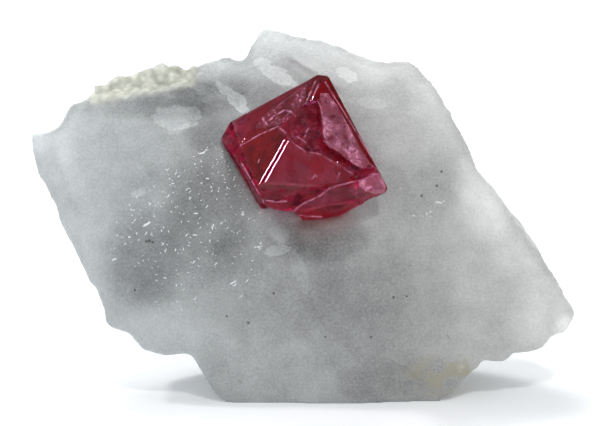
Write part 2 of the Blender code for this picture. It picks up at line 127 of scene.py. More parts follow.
class Recipe:
    """The node tree of a material or of the surroundings."""

    def __init__(self, owner):
        self.owner = owner
        owner.use_nodes = True
        self.tree = owner.node_tree
        self.tree.nodes.clear()

    def node(self, kind, settings=None, values=None, output=0):
        """A node of that kind, with its settings made first and then its sockets filled or linked."""
        made = self.tree.nodes.new(kind)
        for name, setting in (settings or {}).items():
            setattr(made, name, setting)
        for name, value in (values or {}).items():
            if isinstance(value, Value):
                self.tree.links.new(value.socket, made.inputs[name])
            else:
                made.inputs[name].default_value = value
        return Value(self, made.outputs[output])

    def also(self, value, output):
        """Another output of the node that gave the value."""
        return Value(self, value.socket.node.outputs[output])

    def between(self, value, low, high):
        """0 below low and 1 above high, with a soft step between them."""
        return self.node(
            "ShaderNodeMapRange",
            {"interpolation_type": "SMOOTHSTEP"},
            {"Value": value, "From Min": low, "From Max": high},
        )

    def blend(self, share, first, second):
        """The first colour where the share is 0 and the second where it is 1."""
        return self.node(
            "ShaderNodeMix", {"data_type": "RGBA"}, {0: share, 6: first, 7: second}, output=2
        )

    def tinted(self, colour, tint):
        settings = {"data_type": "RGBA", "blend_type": "MULTIPLY"}
        return self.node("ShaderNodeMix", settings, {0: 1.0, 6: colour, 7: tint}, output=2)

    def grey(self, value):
        """A colour with the value in each of its three channels."""
        return self.node("ShaderNodeCombineColor", {}, {0: value, 1: value, 2: value})

    def attribute(self, name):
        return self.node("ShaderNodeAttribute", {"attribute_name": name}, output=2)

    def place(self):
        """The surface's place in the model's frame, in metres."""
        return self.node("ShaderNodeTexCoord", output=3)

    def speckle(self, place, size, detail=2.0, rough=0.5):
        """Noise from 0 to 1 whose lumps are about that many millimetres across."""
        return self.node(
            "ShaderNodeTexNoise",
            {"noise_dimensions": "3D"},
            {"Vector": place, "Scale": 1 / (size * MM), "Detail": detail, "Roughness": rough},
        )

    def cells(self, place, size, settings=None, output=0):
        """Distance to the middle of cells of about that many millimetres, or for output 1 their colour."""
        values = {"Vector": place, "Scale": 1 / (size * MM)}
        return self.node("ShaderNodeTexVoronoi", settings, values, output)

    def shader(self, values):
        return self.node("ShaderNodeBsdfPrincipled", {}, values)

    def finish(self, shader, volume=None, kind="ShaderNodeOutputMaterial"):
        sockets = {"Surface": shader}
        if volume:
            sockets["Volume"] = volume
        made = self.tree.nodes.new(kind)
        for name, value in sockets.items():
            self.tree.links.new(value.socket, made.inputs[name])


# Marble

# Size of the marble's faces, how much of its foot stays flat, and the rounds that smooth its edges
VOXEL = 0.174
FLAT_FOOT = 0.15
EDGE_ROUNDS = 3

# The line of the sugary rim, and how far from it the rim is whole and ends
SUGAR_LINE = [(-15.0, 22.9), (-8.8, 24.2)]
SUGAR_WHOLE, SUGAR_ENDS = 0.6, 1.5

# How far the socket reaches into the crystal, the width of its rim, and the rounds that smooth both
GRIP = 0.05
RIM_WIDTH = 0.9
SOCKET_ROUNDS, RIM_ROUNDS = 2, 4

# Stone this near to the crystal closes against it, and out to the reach it is drawn part of the way. A ray
# crosses the crystal no more often than the last number says
CLOSES_WITHIN, FIT_REACH = 0.4, 0.8
MOST_CROSSINGS = 12

# Height, size and seed of the noise that makes the stone uneven, and of the grains that chip its back, with
# how far behind the face the chipping starts and how far it is full
LUMPS = [(0.10, 2.6, 5.1), (0.05, 1.1, 9.3), (0.03, 0.5, 13.9)]
CHIPS = [(0.26, 2.3, 4.7), (0.12, 0.9, 8.3)]
CHIPPED_FROM, CHIPPED_FULLY = 1.5, 4.5

# The sugary rim's grains: height, level of their rims, size and seed
CRUMBS = [(0.55, 0.6, 1.15, 2.2), (0.2, 0.5, 0.5, 6.1)]

# The greatest thickness that counts for the painted glow of thin stone and the painted shade of thick stone,
# and how thick it counts round the crystal, with the reach of that and of the crystal's painted red light
DEEPEST = 12
SOCKET_DEPTH = 14
SOCKET_REACH = 1.5
RED_LIGHT_REACH = 0.8

# The rounds that soften what the finish reads
DEPTH_ROUNDS, SUGAR_ROUNDS, TOUCH_ROUNDS = 24, 2, 3

# Where the face's colours end behind it, and how much painted light brightens the stone to the right and to
# the left, with where that starts and is full
FRONT_ENDS, FRONT_WHOLE = 4.0, 1.0
TO_RIGHT = (0.07, 3.0, 13.0)
TO_LEFT = (0.05, 8.0, 16.0)

# Dark specks: place and half width
SPECKS = [
    (-11.3, 11.8, 0.1), (-11.1, 11.84, 0.12), (-10.85, 11.75, 0.1), (-12.16, 8.28, 0.1),
    (-2.12, 8.06, 0.1), (-5.5, 6.4, 0.09), (-3.96, 5.93, 0.1), (6.52, 7.77, 0.1), (7.47, 7.84, 0.08),
    (4.91, 4.91, 0.09), (1.61, 4.91, 0.08), (10.04, 16.85, 0.1), (9.67, 15.82, 0.1), (8.57, 15.09, 0.1),
]

# Soft patches of the face, partly the stone's own tone and partly painted shade and light, such as the
# painted shadow below the crystal and the painted glow of its thin top: place, half width and half height,
# and how much lighter or darker they are
PATCHES = [
    ((-11.6, 10.4), (2.4, 3.0), -0.18),
    ((-10.2, 14.6), (3.0, 2.6), -0.06),
    ((-10.2, 22.5), (2.0, 0.8), -0.10),
    ((5.6, 6.2), (4.8, 4.8), -0.11),
    ((13.3, 15.6), (1.9, 3.2), 0.16),
    ((13.4, 11.0), (2.6, 3.6), 0.05),
    ((-13.5, 14.5), (4.5, 4.5), 0.04),
    ((-7.3, 19.9), (1.3, 1.5), -0.12),
    ((-6.6, 22.8), (2.4, 1.5), -0.16),
    ((-12.0, 21.5), (4.5, 0.7), -0.12),
    ((-7.0, 13.6), (2.6, 4.2), -0.15),
    ((1.0, 12.2), (3.2, 1.7), -0.19),
    ((-1.2, 8.8), (3.6, 3.2), -0.07),
    ((-4.6, 10.8), (1.8, 1.8), -0.05),
    ((8.0, 1.2), (5.0, 1.8), -0.10),
    ((-9.5, 5.0), (3.6, 2.0), 0.07),
    ((18.2, 6.2), (2.8, 2.4), 0.18),
    ((3.6, 25.6), (3.8, 2.2), 0.17),
    ((7.4, 23.4), (1.6, 1.6), -0.10),
    ((-2.6, 25.2), (1.5, 1.4), -0.02),
    ((4.9, 22.6), (1.8, 1.3), 0.07),
    ((15.9, 11.4), (1.8, 2.4), 0.10),
    ((-3.7, 22.4), (1.7, 1.2), -0.09),
    ((-5.0, 17.0), (2.4, 3.0), -0.06),
    ((8.4, 15.5), (2.6, 2.4), -0.05),
    ((-18.6, 19.0), (1.6, 2.5), 0.08),
    ((8.0, 20.5), (3.0, 3.0), 0.05),
]

# Where the painted glints of cleaved grains crowd: place, half width and half height, and their share, and
# that elsewhere
CROWDS = [
    ((-8.0, 12.5), (5.0, 5.0), 0.9),
    ((-5.2, 15.5), (2.2, 3.8), 0.8),
    ((8.6, 15.0), (1.8, 1.6), 0.9),
]
SCATTERED = 0.08

# How long the dashes are for their width, and how far they bend. Layers of the painted glints, then of the
# grey dust: size of the cells, turn in degrees, and the share of cells that hold one
DASH_STRETCH, DASH_BEND = 5.2, 0.35
GLINTS = [(0.22, 25, 0.7), (0.26, -50, 0.7), (0.34, 75, 0.6), (0.45, 10, 0.45), (0.6, -30, 0.3)]
DUST = [(0.45, 50, 0.05)]

# Frosty flakes with ragged edges: place, half sizes, turn in degrees, and how much lighter they are, and
# the distance that counts as far from all of them
FLAKES = [
    ((-9.2, 20.9), (1.6, 0.9), 0, 0.14),
    ((-5.1, 22.3), (1.5, 0.5), -45, 0.18),
    ((-2.0, 24.1), (1.9, 0.6), -35, 0.18),
    ((3.1, 24.0), (0.9, 0.5), -30, 0.15),
    ((5.0, 21.9), (1.0, 0.4), -10, 0.06),
    ((16.2, 12.8), (2.6, 0.45), -54, 0.12),
    ((14.0, 16.0), (0.7, 0.3), -40, 0.08),
    ((-1.9, 11.2), (0.9, 0.4), 10, 0.12),
    ((-0.2, 9.6), (0.5, 1.7), 20, 0.05),
    ((-11.9, 15.3), (0.6, 0.3), 20, 0.10),
    ((11.4, 2.6), (0.5, 0.4), 30, 0.20),
]
FAR_FROM_FLAKES = 3.0

# The rust at the foot, and the painted red glow and shade below the crystal: place, half width and half
# height
RUST = ((10.4, 2.0), (2.7, 1.3))
GLOW = ((1.3, 13.0), (2.6, 1.5))

# Colours of the stone's left and right, of its crumbs' middles and gaps, and of what marks it, with the
# painted red glow below the crystal, the socket painted in the crystal's red light and the painted glints
LEFT_TINT, RIGHT_TINT = (0.965, 1.0, 1.01, 1), (1.0, 1.0, 0.975, 1)
CRUMB_PALE, CRUMB_DEEP = (0.74, 0.745, 0.64, 1), (0.36, 0.365, 0.29, 1)
RUST_BROWN = (0.36, 0.33, 0.24, 1)
GLOW_RED = (0.26, 0.09, 0.08, 1)
SOCKET_CRIMSON, SOCKET_PINK = (0.62, 0.14, 0.26, 1), (0.92, 0.30, 0.50, 1)
GLINT_WHITE = (0.88, 0.90, 0.91, 1)
DUST_GREY = (0.12, 0.12, 0.115, 1)
SPECK_BLACK = (0.05, 0.045, 0.04, 1)


def evaluated_copy(obj, name):
    graph = bpy.context.evaluated_depsgraph_get()
    mesh = bpy.data.meshes.new_from_object(obj.evaluated_get(graph))
    made = bpy.data.objects.new(name, mesh)
    bpy.context.scene.collection.objects.link(made)
    return made


def remeshed(node, name, voxel):
    """A copy of the node's shape in small even faces."""
    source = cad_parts[node]
    rough = bpy.data.objects.new(name + "_rough", source.data.copy())
    bpy.context.scene.collection.objects.link(rough)
    even = rough.modifiers.new("even", "REMESH")
    even.mode = "VOXEL"
    even.voxel_size = voxel * MM
    made = evaluated_copy(rough, name)
    bpy.data.objects.remove(rough)
    return made


def coordinates(mesh):
    flat = np.empty(len(mesh.vertices) * 3)
    mesh.vertices.foreach_get("co", flat)
    return flat.reshape(-1, 3)


def normals(mesh):
    flat = np.empty(len(mesh.vertices) * 3)
    mesh.vertices.foreach_get("normal", flat)
    return flat.reshape(-1, 3)


def set_coordinates(mesh, points):
    mesh.vertices.foreach_set("co", points.ravel())
    mesh.update()


def edge_ends(mesh):
    flat = np.empty(len(mesh.edges) * 2, dtype=np.int64)
    mesh.edges.foreach_get("vertices", flat)
    return flat.reshape(-1, 2)


def smoothed(values, ends, rounds, share=0.5):
    """The values with each one drawn towards the mean of its neighbours, round by round."""
    columns = np.array(values, dtype=float).reshape(len(values), -1)
    count = np.bincount(ends.ravel(), minlength=len(values))
    for column in columns.T:
        for _ in range(rounds):
            total = np.bincount(ends[:, 0], column[ends[:, 1]], len(column))
            total += np.bincount(ends[:, 1], column[ends[:, 0]], len(column))
            column += share * (total / count - column)
    return columns.reshape(np.shape(values))


def in_face_frame(points):
    """Columns u, v and w in millimetres for points of the model's frame in metres."""
    matrix = np.array(TO_FACE)
    moved = points @ matrix[:3, :3].T + matrix[:3, 3]
    return np.stack([moved[:, 0], moved[:, 2], -moved[:, 1]], axis=1)


def noise_at(points, size, seed):
    """Smooth noise from about -1 to 1 at each point, in lumps of about that many millimetres."""
    shifted = points / size + seed
    return np.array([noise.noise(Vector(p)) for p in shifted])


def grains_at(points, size, seed):
    """Distance to the middle of the nearest grain, in grain sizes."""
    shifted = points / size + seed
    return np.array([noise.voronoi(Vector(p))[0][0] for p in shifted])


def line_distance(points, line):
    """Distance in the face from each (u, v) to the broken line."""
    best = np.full(len(points), np.inf)
    for start, end in zip(line, line[1:]):
        a, run = np.array(start), np.array(end) - np.array(start)
        share = np.clip((points - a) @ run / (run @ run), 0, 1)
        best = np.minimum(best, np.linalg.norm(points - a - share[:, None] * run, axis=1))
    return best


def soft_step(value, low, high):
    share = np.clip((value - low) / (high - low), 0, 1)
    return share * share * (3 - 2 * share)


def keep(mesh, name, values):
    made = mesh.attributes.new(name, "FLOAT", "POINT")
    made.data.foreach_set("value", np.ascontiguousarray(values, dtype=np.float32))


def tree_of(obj):
    mesh = obj.data
    return BVHTree.FromPolygons([v.co for v in mesh.vertices], [p.vertices for p in mesh.polygons])


def sugar_mask(face):
    return soft_step(-line_distance(face[:, :2], SUGAR_LINE), -SUGAR_ENDS, -SUGAR_WHOLE)


def relief(points, face):
    """Height to raise each point of the marble by, in millimetres."""
    uneven = sum(height * noise_at(points, size, seed) for height, size, seed in LUMPS)
    chipped = sum(height * (0.5 - grains_at(points, size, seed)) for height, size, seed in CHIPS)
    uneven += soft_step(-face[:, 2], CHIPPED_FROM, CHIPPED_FULLY) * chipped
    crumbs = sum(height * (level - grains_at(points, size, seed)) for height, level, size, seed in CRUMBS)
    sugar = sugar_mask(face)
    return uneven * (1 - sugar) + sugar * crumbs


def is_inside(tree, point):
    """Whether a ray out of the face from the point crosses the shape an odd number of times."""
    ray = seen_from(0.03, 0.05, 1.0)
    start, inside = Vector(point), False
    for _ in range(MOST_CROSSINGS):
        spot = tree.ray_cast(start, ray)[0]
        if spot is None:
            return inside
        start, inside = spot + ray * 0.001 * MM, not inside
    return inside


def fitted_to(points, crystal):
    """Points near the crystal drawn in against it, so that the marble holds it with no gap."""
    made = points.copy()
    touching = np.zeros(len(points))
    for i, point in enumerate(points):
        spot, _, _, distance = crystal.find_nearest(Vector(point), FIT_REACH * MM)
        if spot is None or distance < 1e-7:
            continue
        away = (Vector(point) - spot) / distance
        if is_inside(crystal, point):
            away, distance = -away, 0.0
        wanted = max(0.0, (distance - CLOSES_WITHIN * MM) * FIT_REACH / (FIT_REACH - CLOSES_WITHIN))
        made[i] = spot + away * (wanted - GRIP * MM * (wanted == 0))
        touching[i] = wanted == 0
    return made, touching


def thickness(obj, points, directions):
    """Distance through the stone behind each point, in millimetres."""
    tree = tree_of(obj)
    made = np.empty(len(points))
    for i, (point, direction) in enumerate(zip(points, directions)):
        inward = -Vector(direction)
        distance = tree.ray_cast(Vector(point) + inward * 0.05 * MM, inward)[3]
        made[i] = (distance or DEEPEST * MM) / MM
    return made


def nearness(points, crystal, reach):
    """1 at the crystal's surface, falling off over the reach in millimetres."""
    made = np.zeros(len(points))
    for i, point in enumerate(points):
        distance = crystal.find_nearest(Vector(point), 5 * reach * MM)[3]
        if distance is not None:
            made[i] = math.exp(-distance / (reach * MM))
    return made


def shape_marble():
    """The marble with its fine relief, closed round the crystal, and with what its finish reads."""
    marble = remeshed("marble_matrix", "marble_fine", VOXEL)
    mesh = marble.data
    ends = edge_ends(mesh)
    crystal = tree_of(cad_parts["spinel_crystal"])
    points = coordinates(mesh)
    on_foot = points[:, 2] < FLAT_FOOT * MM
    rounded = smoothed(points, ends, EDGE_ROUNDS)
    rounded[on_foot] = points[on_foot]
    set_coordinates(mesh, rounded)
    out = normals(mesh)
    face = in_face_frame(rounded)
    height = relief(rounded / MM, face)
    height[on_foot] = 0
    points = rounded + out * height[:, None] * MM
    fitted, touching = fitted_to(points, crystal)
    points = points + smoothed(fitted - points, ends, SOCKET_ROUNDS)
    rim = nearness(points, crystal, SOCKET_REACH) > math.exp(-RIM_WIDTH / SOCKET_REACH)
    points[rim] = smoothed(points, ends, RIM_ROUNDS)[rim]
    set_coordinates(mesh, np.clip(points, *np.array(CAD_BOX)))
    behind = np.minimum(thickness(marble, points, out), DEEPEST)
    depth = np.maximum(behind, SOCKET_DEPTH * nearness(points, crystal, SOCKET_REACH))
    keep(mesh, "depth", smoothed(depth, ends, DEPTH_ROUNDS))
    keep(mesh, "sugar", smoothed(sugar_mask(face), ends, SUGAR_ROUNDS))
    keep(mesh, "socket", soft_step(smoothed(touching, ends, TOUCH_ROUNDS), 0.85, 1.0))
    # Nearness to the crystal, for its painted red light on the stone
    keep(mesh, "red_light_nearness", nearness(points, crystal, RED_LIGHT_REACH))
    colour_marks(mesh, face)
    mesh.polygons.foreach_set("use_smooth", [True] * len(mesh.polygons))
    return marble


def oval(face, middle, half_sizes, turn=0):
    """How far each point lies from the middle of the turned oval, squared, with 1 on its rim."""
    across, up = face[:, 0] - middle[0], face[:, 1] - middle[1]
    cosine, sine = math.cos(math.radians(turn)), math.sin(math.radians(turn))
    along = (across * cosine + up * sine) / half_sizes[0]
    return along**2 + ((up * cosine - across * sine) / half_sizes[1]) ** 2


def soft_oval(face, middle, half_sizes):
    return 1 - soft_step(oval(face, middle, half_sizes), 0.0, 2.2)


def colour_marks(mesh, face):
    """Keeps how light the stone is, with its painted light and shade, and where its flakes, painted glints,
    rust and painted red glow lie.
    """
    front = soft_step(face[:, 2], -FRONT_ENDS, -FRONT_WHOLE)
    # Painted light brightens the right and left, and the patches add painted shade and light to the stone's
    # own tone
    tone_light_and_shade = np.zeros(len(face))
    for way, (gain, start, full) in ((1, TO_RIGHT), (-1, TO_LEFT)):
        tone_light_and_shade += gain * soft_step(way * face[:, 0], start, full)
    for middle, half_sizes, change in PATCHES:
        tone_light_and_shade += change * soft_oval(face, middle, half_sizes) * front
    keep(mesh, "tone_light_and_shade", tone_light_and_shade)
    flake, lighter = np.full(len(face), FAR_FROM_FLAKES), np.zeros(len(face))
    for middle, half_sizes, turn, change in FLAKES:
        distance = np.minimum(oval(face, middle, half_sizes, turn), FAR_FROM_FLAKES)
        nearer = distance < flake
        lighter[nearer] = change * (1 - 0.3 * (face[nearer, 1] - middle[1]) / max(half_sizes))
        flake = np.minimum(flake, distance)
    keep(mesh, "flake", flake + FAR_FROM_FLAKES * (1 - front))
    keep(mesh, "flake_gain", lighter)
    crowd = sum(share * soft_oval(face, middle, half_sizes) for middle, half_sizes, share in CROWDS)
    keep(mesh, "crowd", (SCATTERED + np.minimum(crowd, 1.0)) * front)
    keep(mesh, "rust", soft_oval(face, *RUST) * front)
    keep(mesh, "glow", soft_oval(face, *GLOW) * front)


def dashes(recipe, place, bend, size, turn, share):
    """Short dashes for painted glints of cleaved grains, grey dust and etched streaks: 0 between them, in
    the share of the cells given.
    """
    width = (DASH_BEND * size * MM,) * 3
    bent = recipe.node("ShaderNodeVectorMath", {"operation": "MULTIPLY_ADD"}, {0: bend, 1: width, 2: place})
    stretched = recipe.node(
        "ShaderNodeMapping",
        {"vector_type": "TEXTURE"},
        {"Vector": bent, "Rotation": (0.3, math.radians(turn), 0.2), "Scale": (DASH_STRETCH, 1, 1)},
    )
    distance = recipe.cells(stretched, size)
    pick = recipe.node("ShaderNodeSeparateColor", {}, {0: recipe.also(distance, 1)})
    chosen = recipe.between(pick, 1 - share, 1.01 - share)
    return (1 - recipe.between(distance, 0.10, 0.16)) * chosen * (0.6 + 0.4 * recipe.also(pick, 1))


def dash_layers(recipe, place, layers):
    """Several layers of dashes laid together."""
    bend = recipe.also(recipe.speckle(place, 0.35), 1)
    laid = [dashes(recipe, place, bend, *layer) for layer in layers]
    return sum(laid[1:], laid[0])


def dark_specks(recipe, place):
    """1 on the dark specks of the front and 0 elsewhere."""
    nearest = 1.0
    for speck_u, speck_v, size in SPECKS:
        middle = at(speck_u, speck_v, 0.0)
        across = recipe.node("ShaderNodeVectorMath", {"operation": "SUBTRACT"}, {0: place, 1: middle})
        level = recipe.node(
            "ShaderNodeVectorMath", {"operation": "CROSS_PRODUCT"}, {0: across, 1: seen_from(0, 0, 1)}
        )
        gap = recipe.node("ShaderNodeVectorMath", {"operation": "LENGTH"}, {0: level}, 1)
        gap = gap * (0.5 / (size * MM))
        nearest = recipe.node("ShaderNodeMath", {"operation": "MINIMUM"}, {0: nearest, 1: gap})
    on_front = recipe.between(recipe.attribute("crowd"), 0.0, 0.05)
    return (1 - recipe.between(nearest, 0.3, 0.6)) * on_front


def stone_light(recipe, place, clouds, mottle):
    """How light the bare stone is: painted lighter where it is thin, for light shining through, and darker
    where it is thick, with the painted light and shade of its tone, and lighter on its frosty flakes.
    """
    thin = 1 - recipe.between(recipe.attribute("depth"), 0.3, 7.5)
    grain = recipe.speckle(place, 0.16, 2.0) - 0.5
    # Thin stone gets a painted glow and thick stone painted shade, and the tone adds painted light and shade
    light = 0.40 + 0.37 * thin + 0.16 * clouds + 0.15 * mottle + 0.24 * grain + recipe.attribute("tone_light_and_shade")
    chips = recipe.cells(place, 0.8, {"distance": "MANHATTAN"}, 1)
    ragged = 3.2 * mottle + 0.5 * recipe.node("ShaderNodeSeparateColor", {}, {0: chips})
    inside = 1 - recipe.between(recipe.attribute("flake") + ragged, 1.05, 1.45)
    return light + inside * recipe.attribute("flake_gain") * (1 + 0.4 * grain)


def marble_finish():
    recipe = Recipe(bpy.data.materials.new("grey_white_marble"))
    place = recipe.place()
    clouds = recipe.speckle(place, 5.0, 3.0) - 0.5
    mottle = recipe.speckle(place, 1.2, 4.0) - 0.5
    light = stone_light(recipe, place, clouds, mottle)
    across = recipe.node("ShaderNodeSeparateXYZ", {}, {0: place})
    to_right = recipe.node(
        "ShaderNodeMapRange", {}, {"Value": across, "From Min": -12 * MM, "From Max": 12 * MM}
    )
    colour = recipe.tinted(recipe.grey(light), recipe.blend(to_right, LEFT_TINT, RIGHT_TINT))
    yellowish = recipe.blend(recipe.cells(place, 0.5), CRUMB_PALE, CRUMB_DEEP)
    colour = recipe.blend(0.85 * recipe.attribute("sugar"), colour, yellowish)
    rust = recipe.attribute("rust") * recipe.between(mottle, -0.08, 0.1)
    colour = recipe.blend(0.8 * rust, colour, RUST_BROWN)
    # Painted red light and shade from the crystal, on the stone just below it
    glow = recipe.attribute("red_light_nearness") * recipe.attribute("glow")
    colour = recipe.blend(0.75 * glow, colour, GLOW_RED)
    # The socket that holds the crystal is painted crimson and pink, painted red light from the crystal
    cloudy = recipe.between(recipe.speckle(place, 1.6, 5.0, 0.65), 0.42, 0.56)
    reddish = recipe.blend(cloudy, SOCKET_CRIMSON, SOCKET_PINK)
    colour = recipe.blend(recipe.attribute("socket"), colour, reddish)
    # Painted glints: white flecks where cleaved grains would catch the lamps
    crowd = recipe.attribute("crowd") * recipe.between(clouds + mottle, -0.18, 0.08)
    glint = recipe.between(dash_layers(recipe, place, GLINTS) * crowd, 0.05, 0.45)
    colour = recipe.blend(0.9 * glint, colour, GLINT_WHITE)
    colour = recipe.blend(0.35 * dash_layers(recipe, place, DUST), colour, DUST_GREY)
    colour = recipe.blend(0.85 * dark_specks(recipe, place), colour, SPECK_BLACK)
    height = recipe.speckle(place, 0.22, 3.0) + 0.9 * mottle + 0.4 * glint
    bump = recipe.node("ShaderNodeBump", {}, {"Strength": 0.8, "Distance": 0.08 * MM, "Height": height})
    surface = recipe.shader(
        {
            "Base Color": colour,
            "Roughness": 0.5 + 0.3 * mottle - 0.2 * glint,
            "Subsurface Weight": 0.6,
            "Subsurface Radius": (1.0, 1.0, 1.0),
            "Subsurface Scale": 0.6 * MM,
            "IOR": 1.5,
            "Normal": bump,
        }
    )
    recipe.finish(surface)
    return recipe.owner


# Spinel


# How strongly spinel bends light
SPINEL_IOR = 1.718

# Colours of the clear crystal, its gleam and its frost, and of the shade inside it, lighter and deeper
GLASS_PINK = (1.0, 0.93, 0.97, 1)
GLEAM_PINK = (1.0, 0.5, 0.68, 1)
FROST_PINK = (0.92, 0.36, 0.56, 1)
SHADE_RED, DEEP_RED = (0.21, 0.009, 0.03, 1), (0.06, 0.005, 0.012, 1)

# The colour that its body gives to the light that passes through, and how dense it is for each metre
BODY_RED = (0.972, 0.23, 0.735, 1)
BODY_DENSITY = 1 / MM

# Layers of its scratches: size of their cells, turn in degrees, and the share of cells that hold one
STREAKS = [(0.3, 55, 0.5), (0.5, 65, 0.4), (0.36, -30, 0.4)]

# How the octahedron is turned in the face's frame, and the radius of its edges, with the two wider ones
CRYSTAL_TURN = Euler([math.radians(a) for a in (21, -15, 63)])
EDGE_RADIUS = 0.12
WIDE_EDGE_RADIUS = 0.18
WIDE_EDGES = [(-1, 0, 1), (0, -1, 1)]
EDGE_STEPS = 3

# Edges of the small faces: the shortest, the longest in front and the longest behind, and the most rounds
# of splitting it takes
FINEST, COARSEST, BEHIND = 0.08, 0.4, 1.0
MOST_ROUNDS = 9

# What is merged: corners and cuts this near to each other, faces this flat, and slivers this thin
SAME_CORNER, SAME_CUT, SLIVER = 0.004, 0.008, 0.002
FLAT_ANGLE = math.radians(0.5)

# Places of the crystal as they look from in front: outline, haze, etching, unevenness and inner shade
PLACES = [
    (
        [
            (-6.2, 20.8), (-5.2, 20.5), (-4.76, 19.2), (-4.03, 17.36), (-3.0, 15.16), (-2.56, 14.2),
            (-3.5, 14.2), (-4.6, 16.3), (-5.64, 18.5), (-6.4, 19.3),
        ],
        (0.0, 0.0, 0.2, 0.8),
    ),
    (
        [(-0.22, 14.4), (4.6, 14.8), (4.6, 14.2), (2.0, 13.4), (-0.4, 13.4)],
        (0.0, 0.05, 0.4, 0.2),
    ),
    (
        [(-5.2, 20.5), (0.8, 23.8), (0.2, 22.9), (-2.2, 21.3), (-3.6, 20.2), (-4.6, 18.9)],
        (0.01, 0.1, 0.3, 0.25),
    ),
    (
        [
            (1.25, 22.64), (1.83, 22.64), (2.49, 21.76), (3.44, 20.07), (4.18, 18.61), (4.91, 17.51),
            (5.27, 17.22), (4.40, 17.07), (3.96, 17.29), (2.93, 18.10), (2.27, 18.61), (1.76, 19.05),
            (1.47, 19.63), (1.54, 20.29), (1.39, 21.03), (1.32, 21.61),
        ],
        (0.20, 1.0, 0.5, 0.0),
    ),
    (
        [
            (4.03, 16.26), (4.54, 16.41), (5.20, 16.78), (5.57, 16.78), (5.93, 16.19), (6.08, 15.68),
            (5.93, 15.31), (5.35, 15.24), (4.54, 15.46), (4.18, 15.75),
        ],
        (0.28, 1.0, 0.6, 0.0),
    ),
    (
        [
            (0.22, 23.3), (-0.51, 22.7), (-1.39, 22.1), (-2.27, 21.5), (-3.0, 20.8), (-3.44, 20.1),
            (-2.71, 20.1), (-1.69, 20.4), (-0.81, 20.8), (-0.22, 21.5), (0.15, 22.3),
        ],
        (0.01, 0.75, 0.5, 0.1),
    ),
    (
        [
            (-1.17, 19.19), (-0.22, 18.68), (0.51, 18.32), (1.25, 18.24), (2.12, 17.73), (3.08, 17.14),
            (3.59, 16.85), (3.44, 16.26), (2.86, 16.12), (1.76, 15.97), (-0.22, 15.90), (-2.27, 16.04),
            (-2.64, 16.41),
        ],
        (0.05, 0.0, 0.0, 0.1),
    ),
    (
        [
            (0.2, 21.9), (0.7, 22.1), (1.1, 22.1), (1.3, 21.6), (1.45, 20.3), (1.4, 19.6),
            (1.7, 19.0), (2.8, 18.1), (3.9, 17.3), (4.4, 17.0), (5.3, 17.2), (5.1, 16.6),
            (4.0, 16.3), (3.5, 16.9), (2.1, 17.8), (1.2, 18.3), (0.3, 18.4), (-1.2, 19.3),
            (-1.9, 20.1), (-1.0, 21.2),
        ],
        (0.0, 0.3, 0.7, 0.6),
    ),
    (
        [
            (-3.1, 15.6), (-0.2, 15.7), (3.0, 15.9), (2.1, 15.6), (1.2, 15.0), (0.5, 14.6),
            (-0.2, 14.4), (-0.7, 13.9), (-2.6, 14.2),
        ],
        (0.0, 0.0, 0.35, 0.65),
    ),
    (
        [
            (-0.6, 14.0), (-0.2, 14.5), (1.2, 15.2), (2.1, 15.8), (3.1, 16.1), (3.9, 16.2),
            (4.2, 15.7), (4.6, 15.3), (5.9, 15.0), (4.6, 14.5), (2.1, 14.5),
        ],
        (0.02, 0.3, 0.5, 0.35),
    ),
]

# Thin pale lines along growth steps, breaks and rims, partly frost and partly painted glints, and short
# painted glints, with their half widths
PALE_LINES = [
    ([(-4.6, 18.8), (-3.2, 19.6), (-1.83, 20.2), (-1.25, 19.7)], 0.04),
    ([(-4.5, 17.5), (-3.7, 16.1), (-2.86, 14.6)], 0.045),
    ([(-0.73, 13.9), (-0.22, 14.4), (1.25, 15.1), (1.98, 15.7), (3.08, 16.0), (3.88, 16.2)], 0.05),
    (
        [(-1.17, 19.4), (-0.6, 18.9), (0.2, 18.4), (1.25, 18.2), (2.2, 17.6), (3.1, 17.1), (3.6, 16.7)],
        0.03,
    ),
    ([(1.1, 22.1), (1.3, 21.6), (1.5, 20.3), (1.5, 19.6), (1.8, 19.0), (2.9, 18.1), (4.0, 17.3)], 0.04),
    ([(0.2, 21.95), (0.9, 23.5)], 0.05),
    ([(0.65, 22.2), (1.15, 23.3)], 0.04),
    ([(-0.71, 22.78), (-0.4, 22.5), (-0.19, 22.08)], 0.05),
    ([(-1.23, 21.38), (-0.9, 21.3), (-0.54, 20.95)], 0.05),
    ([(-2.45, 20.69), (-1.9, 21.1), (-1.41, 21.38)], 0.05),
    ([(-2.97, 20.86), (-2.8, 20.5), (-2.54, 20.26)], 0.05),
    ([(0.42, 20.08), (0.2, 19.8), (0.15, 19.47)], 0.05),
    ([(-0.45, 19.47), (0.1, 19.1), (0.51, 18.61)], 0.03),
    ([(1.55, 19.13), (1.8, 18.9), (2.07, 18.61)], 0.05),
    ([(-2.71, 14.78), (-2.0, 14.68), (-1.23, 14.7)], 0.05),
    ([(-0.37, 13.66), (0.5, 13.6), (1.37, 13.57)], 0.05),
    ([(2.5, 16.35), (2.67, 16.78), (3.03, 16.92), (3.2, 16.52)], 0.03),
    ([(1.63, 23.47), (3.6, 20.3), (5.55, 17.04)], 0.04),
    ([(0.72, 16.4), (0.9, 16.66), (1.0, 16.5)], 0.035),
    ([(-3.3, 17.55), (-3.2, 17.8)], 0.035),
    ([(4.5, 15.9), (4.7, 15.7), (5.0, 15.75)], 0.09),
]


